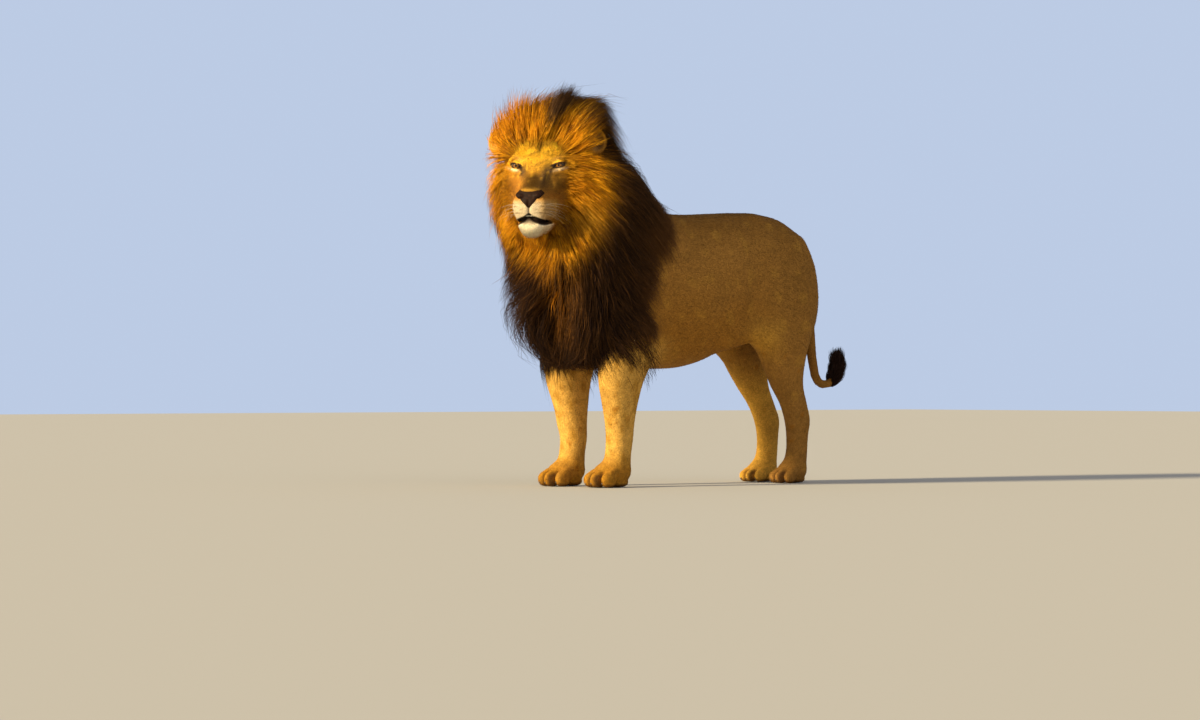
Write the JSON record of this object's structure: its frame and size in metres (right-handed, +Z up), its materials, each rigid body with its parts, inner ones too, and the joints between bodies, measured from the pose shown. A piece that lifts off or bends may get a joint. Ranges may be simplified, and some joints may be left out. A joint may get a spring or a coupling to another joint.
{
  "type": "lion figure",
  "caption": "Life-size standing male lion with a full dark mane, head high and turned to its left, and the tail hooked up to a dark tuft.",
  "frame": {"origin": "on the floor, under the middle of the bounding box", "axes": "+Z up; the lion heads along -Y; its left side is +X"},
  "size_m": [0.5111, 1.6509, 1.4344],
  "materials": {
    "coat": "short tawny fur, paler under the belly and on the insides of the legs",
    "mane": "long hair, amber round the face and brown-black behind it",
    "nose_leather": "dark brown, slightly moist skin",
    "eye": "wet amber eye with a round pupil"
  },
  "bodies": {
    "root": {"ankle_fore_left": "coat", "ankle_fore_right": "coat", "ankle_hind_left": "coat", "ankle_hind_right": "coat", "belly": "coat", "chest": "mane", "ear_left": "coat", "ear_right": "coat", "eye_left": "eye", "eye_right": "eye", "head": "coat", "jaw": "coat", "leg_fore_left": "coat", "leg_fore_right": "coat", "leg_hind_left": "coat", "leg_hind_right": "coat", "mane_cheek_left": "mane", "mane_cheek_right": "mane", "mane_crown": "mane", "mane_throat": "mane", "neck": "mane", "nose": "nose_leather", "paw_fore_left": "coat", "paw_fore_right": "coat", "paw_hind_left": "coat", "paw_hind_right": "coat", "rump": "coat", "shoulder_left": "mane", "shoulder_right": "mane", "tail_bend": "coat", "tail_middle": "coat", "tail_root": "coat", "tail_tuft": "mane", "thorax": "coat"}
  },
  "joints": []
}
